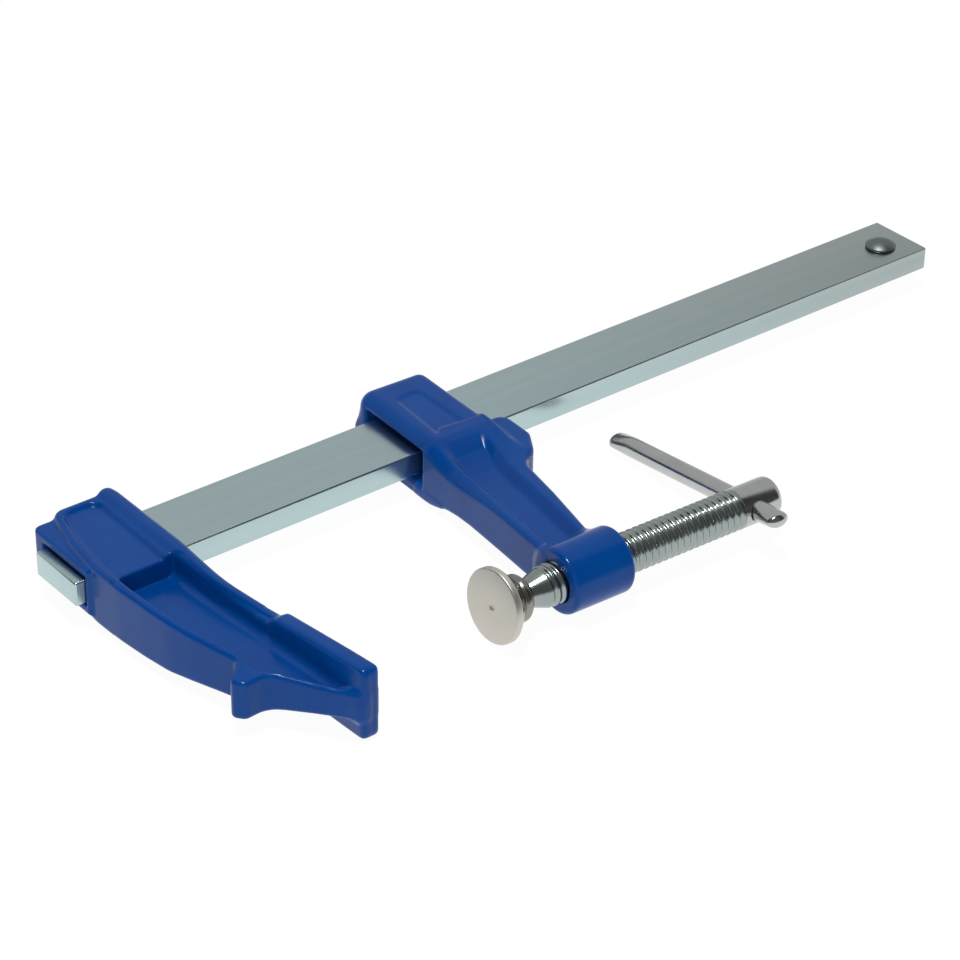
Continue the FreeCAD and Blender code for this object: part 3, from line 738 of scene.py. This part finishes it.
# the turned head with its cross hole, which is countersunk on both sides
def makeScrewHead():
    s = screwSettings
    start, radius = s["threadEnd"] + 0.45, s["radius"]
    profile = roundedProfile([(start, 0.02, 0), (start, radius - 0.02, 0), (s["threadEnd"] + 0.9, radius, 0),
                              (s["headEnd"], radius, s["crown"] * 1.6), (s["headEnd"], 0.02, 0)])
    head = bpy.data.objects.new("headRough", lathe("headRough", profile, screwFrame, 128))
    bpy.context.collection.objects.link(head)
    drillFrame = screwFrame @ shifted(s["tommyAt"], 0, 0) @ turned(90, "Z")
    drillRadius = s["holeRadius"]
    surface = math.sqrt(radius ** 2 - drillRadius ** 2) + 0.2
    drillProfile = [(-20, 0.02), (-20, drillRadius + 3), (-radius, drillRadius + 0.5),
                    (-surface, drillRadius), (surface, drillRadius), (radius, drillRadius + 0.5),
                    (20, drillRadius + 3), (20, 0.02)]
    drill = bpy.data.objects.new("drill", lathe("drill", drillProfile, drillFrame, 64))
    bpy.context.collection.objects.link(drill)
    cut = head.modifiers.new("tommyHole", "BOOLEAN")
    cut.object = drill
    cut.operation = "DIFFERENCE"
    cut.solver = "EXACT"
    graph = bpy.context.evaluated_depsgraph_get()
    mesh = bpy.data.meshes.new_from_object(head.evaluated_get(graph))
    bpy.data.objects.remove(head)
    bpy.data.objects.remove(drill)
    mesh.name = "spindleHead"
    shape = bmesh.new()
    shape.from_mesh(mesh)
    bmesh.ops.remove_doubles(shape, verts=shape.verts, dist=0.03 * millimetre)      # slivers at the hole
    shape.to_mesh(mesh)
    shape.free()
    return shadeByAngle(mesh, 40)


screwMesh = makeScrew()
# the thread carries the darker zinc, as painted shade
newPiece("spindle_screw", screwMesh, "spindle", shadedThreadZinc, ["spindle"])
newPiece("spindle_head", makeScrewHead(), "spindle", screwZinc, ["spindle"])
print("spindle cut:", len(screwMesh.vertices))


tommySettings = {
    "radius": 4.0,
    "far": 80.0,
    "near": -20.2,
    "flat": 12.5,               # length of each flattened end
    "flatHalfWidth": 4.9,
    "flatHalfThick": 2.7,
    "endRound": 3.2,
    "around": 48,
}


# half width and half thickness at a distance from a pinched end
def tommySection(away):
    s = tommySettings
    ease = smoothStep(away / s["flat"])
    width = s["flatHalfWidth"] + (s["radius"] - s["flatHalfWidth"]) * ease
    thick = s["flatHalfThick"] + (s["radius"] - s["flatHalfThick"]) * ease
    end = min(1.0, away / s["endRound"])
    closing = math.sqrt(max(0.0, 1 - (1 - end) ** 2))
    return width * max(0.06, closing), thick * max(0.1, min(1.0, closing * 1.15))


# a round bar whose ends were pressed flat, so that it can't fall out of the head
def makeTommy():
    s = tommySettings
    places = []
    for step in range(29):
        t = step / 28
        places.append(s["flat"] * (0.35 * t * t + 0.65 * t ** 1.4))
    ends = [s["near"] + away for away in places] + [s["far"] - away for away in reversed(places)]
    rings = []
    for y in ends:
        width, thick = tommySection(min(y - s["near"], s["far"] - y))
        ring = []
        for step in range(s["around"]):
            angle = 2 * math.pi * step / s["around"]
            local = Vector((screwSettings["tommyAt"] + width * math.cos(angle), y, -thick * math.sin(angle)))
            ring.append(screwFrame @ (local * millimetre))
        rings.append(ring)
    return smoothShading(ringsMesh("tommyRod", rings))


newPiece("tommy_rod", makeTommy(), "tommy_bar", screwZinc, ["tommy_bar"])
print("tommy bar made")


padSettings = {
    "face": -53.3,
    "disc": 14.4,               # radius
    "rim": 2.5,
    "hub": 9.0,
    "length": 13.8,
    "bore": 5.4,
}


# disc, cone and hub turned from one piece, with the ball's socket in it and a centre mark in its face
def makePad():
    s = padSettings
    face, lip = s["face"], s["face"] + s["length"]
    centre = armSettings["ballCentre"]
    profile = roundedProfile([
        (face + 0.5, 0.02, 0), (face + 0.5, 0.9, 0.2), (face, 1.5, 0.3), (face, s["disc"], 0.7),
        (face + s["rim"], s["disc"], 0.8), (lip - 4.6, s["hub"] - 0.7, 1.0), (lip - 3.6, s["hub"], 0.8),
        (lip - 2.0, s["hub"], 0.8), (lip - 0.1, s["hub"] - 1.6, 0.5), (lip, s["bore"] + 1.2, 0.3),
        (lip, s["bore"], 0.3), (centre, s["bore"], 0), (centre - 3.0, 4.4, 0), (centre - 5.35, 0.02, 0)])
    return shadeByAngle(lathe("padDisc", profile, padFrame, 128), 40)


padPiece = newPiece("pad_disc", makePad(), "swivel_pad", padSteel, ["swivel_pad"])
# painted shade: the hub's faces take the darker copy of the steel
padPiece.data.materials.append(shadedHubSteel)
toPad = padFrame.inverted()
discEnd = padSettings["face"] + padSettings["rim"] + 0.2
for polygon in padPiece.data.polygons:
    if (toPad @ polygon.center).x / millimetre > discEnd:
        polygon.material_index = 1
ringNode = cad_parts["retaining_ring"]
ringNode.data.materials.clear()
ringNode.data.materials.append(ringSteel)
print("pad made")


lightSettings = {
    "floorHeight": -15.1,       # millimetres
    "floorShade": 0.80,
    "floorBounce": 0.35,        # what the paper adds from below, as a light table does
    "seenShade": 0.06,          # what camera and mirror rays see of the paper, so that shadows stay faint
    "seenGlow": 0.96,
    "mirrorGlow": 0.92,
    "dark": 0.03,               # the unlit part of the room, over and behind the camera
    "dim": 0.13,                # low behind the camera
    "bright": 0.56,             # the far wall
    "farWall": (0.616, 0.763, -0.195),
}


# pale paper that camera and mirror rays see nearly white and that lights the clamp softly from below
def makeFloor():
    s = lightSettings
    reach = 6.0                 # metres
    z = s["floorHeight"] * millimetre
    mesh = bpy.data.meshes.new("floor")
    mesh.from_pydata([(-reach, -reach, z), (reach, -reach, z), (reach, reach, z), (-reach, reach, z)], [],
                     [(0, 1, 2, 3)])
    material, tree, output = newMaterial("palePaper")
    path = addNode(tree, "ShaderNodeLightPath")
    mirrored = addNode(tree, "ShaderNodeMath", {"operation": "MAXIMUM"},
                       {0: (path, "Is Glossy Ray"), 1: (path, "Is Transmission Ray")})
    seen = addNode(tree, "ShaderNodeMath", {"operation": "MAXIMUM"},
                   {0: (path, "Is Camera Ray"), 1: (mirrored, "Value")})
    mirror = addNode(tree, "ShaderNodeMapRange", {"To Min": s["floorBounce"], "To Max": s["mirrorGlow"]},
                     {"Value": (mirrored, "Value")})
    lift = addNode(tree, "ShaderNodeMapRange", {"To Max": s["seenGlow"]},
                   {"Value": (path, "Is Camera Ray"), "To Min": (mirror, "Result")})
    shade = addNode(tree, "ShaderNodeMix",
                    {"data_type": "RGBA", 6: grey(s["floorShade"]), 7: grey(s["seenShade"])},
                    {"Factor": (seen, "Value")})
    paper = addNode(tree, "ShaderNodeBsdfDiffuse", None, {"Color": (shade, 2)})
    glow = addNode(tree, "ShaderNodeEmission", None, {"Strength": (lift, "Result")})
    both = addNode(tree, "ShaderNodeAddShader", None, {0: (paper, "BSDF"), 1: (glow, "Emission")})
    tree.links.new(both.outputs["Shader"], output.inputs["Surface"])
    mesh.materials.append(material)
    floor = bpy.data.objects.new("floor", mesh)
    bpy.context.collection.objects.link(floor)


# a studio with a bright far wall and a dark side behind the camera; the camera itself sees white
def makeSky():
    s = lightSettings
    world = bpy.data.worlds.new("studio")
    bpy.context.scene.world = world
    world.use_nodes = True
    tree = world.node_tree
    tree.nodes.clear()
    output = tree.nodes.new("ShaderNodeOutputWorld")
    place = addNode(tree, "ShaderNodeTexCoord")
    towards = addNode(tree, "ShaderNodeVectorMath", {"operation": "DOT_PRODUCT", 1: s["farWall"]},
                      {0: (place, "Generated")})
    level = addNode(tree, "ShaderNodeMapRange", {"From Min": -1.0}, {"Value": (towards, "Value")})
    dim, dark, bright = grey(s["dim"]), grey(s["dark"]), grey(s["bright"])
    room = addNode(tree, "ShaderNodeValToRGB",
                   {"stops": [(0.0, dim), (0.2, dim), (0.42, dark), (0.5, dark), (0.53, bright),
                              (0.95, bright), (1.0, grey(0.8))]}, {"Fac": (level, "Result")})
    path = addNode(tree, "ShaderNodeLightPath")
    white = addNode(tree, "ShaderNodeMix", {"data_type": "RGBA", 7: grey(1.0)},
                    {"Factor": (path, "Is Camera Ray"), 6: (room, "Color")})
    sky = addNode(tree, "ShaderNodeBackground", {"Strength": 1.0}, {"Color": (white, 2)})
    tree.links.new(sky.outputs["Background"], output.inputs["Surface"])


# a soft box that faces a target, in metres and watts
def addPanel(name, place, target, width, height, power):
    lamp = bpy.data.lights.new(name, "AREA")
    lamp.shape = "RECTANGLE"
    lamp.size = width
    lamp.size_y = height
    lamp.energy = power
    panel = bpy.data.objects.new(name, lamp)
    bpy.context.collection.objects.link(panel)
    panel.location = place
    panel.rotation_euler = (Vector(place) - Vector(target)).to_track_quat("Z", "Y").to_euler()
    return panel


cameraSettings = {
    "place": (-0.5090, -0.7008, 0.6286),        # metres
    "azimuth": -38.99,
    "elevation": 32.32,
    "roll": 0.89,
    "lens": 116.2,
    "sensor": 36.0,
}


def makeCamera():
    s = cameraSettings
    azimuth, elevation, roll = (math.radians(s[key]) for key in ("azimuth", "elevation", "roll"))
    back = Vector((math.sin(azimuth) * math.cos(elevation), -math.cos(azimuth) * math.cos(elevation),
                   math.sin(elevation)))
    right = Vector((0, 0, 1)).cross(back).normalized()
    up = back.cross(right)
    tiltedRight = right * math.cos(roll) + up * math.sin(roll)
    tiltedUp = up * math.cos(roll) - right * math.sin(roll)
    data = bpy.data.cameras.new("photoCamera")
    data.lens = s["lens"]
    data.sensor_width = s["sensor"]
    data.sensor_fit = "HORIZONTAL"
    data.clip_start = 0.01
    data.clip_end = 50
    camera = bpy.data.objects.new("photoCamera", data)
    bpy.context.collection.objects.link(camera)
    camera.matrix_world = Matrix.Translation(Vector(s["place"])) @ Matrix((
        (tiltedRight.x, tiltedUp.x, back.x, 0), (tiltedRight.y, tiltedUp.y, back.y, 0),
        (tiltedRight.z, tiltedUp.z, back.z, 0), (0, 0, 0, 1)))
    bpy.context.scene.camera = camera


makeFloor()
makeSky()
clampMiddle = (0.12, 0.05, 0.0)
addPanel("topLamp", (-0.1, -0.05, 1.5), clampMiddle, 0.25, 0.25, 15)
frontFill = addPanel("frontFill", (-1.2, -1.4, 0.6), clampMiddle, 1.6, 1.2, 9)
frontFill.visible_glossy = False        # it would stand as a white patch in the metal
makeCamera()
bpy.context.scene.view_settings.view_transform = "Standard"
print("stage lit")
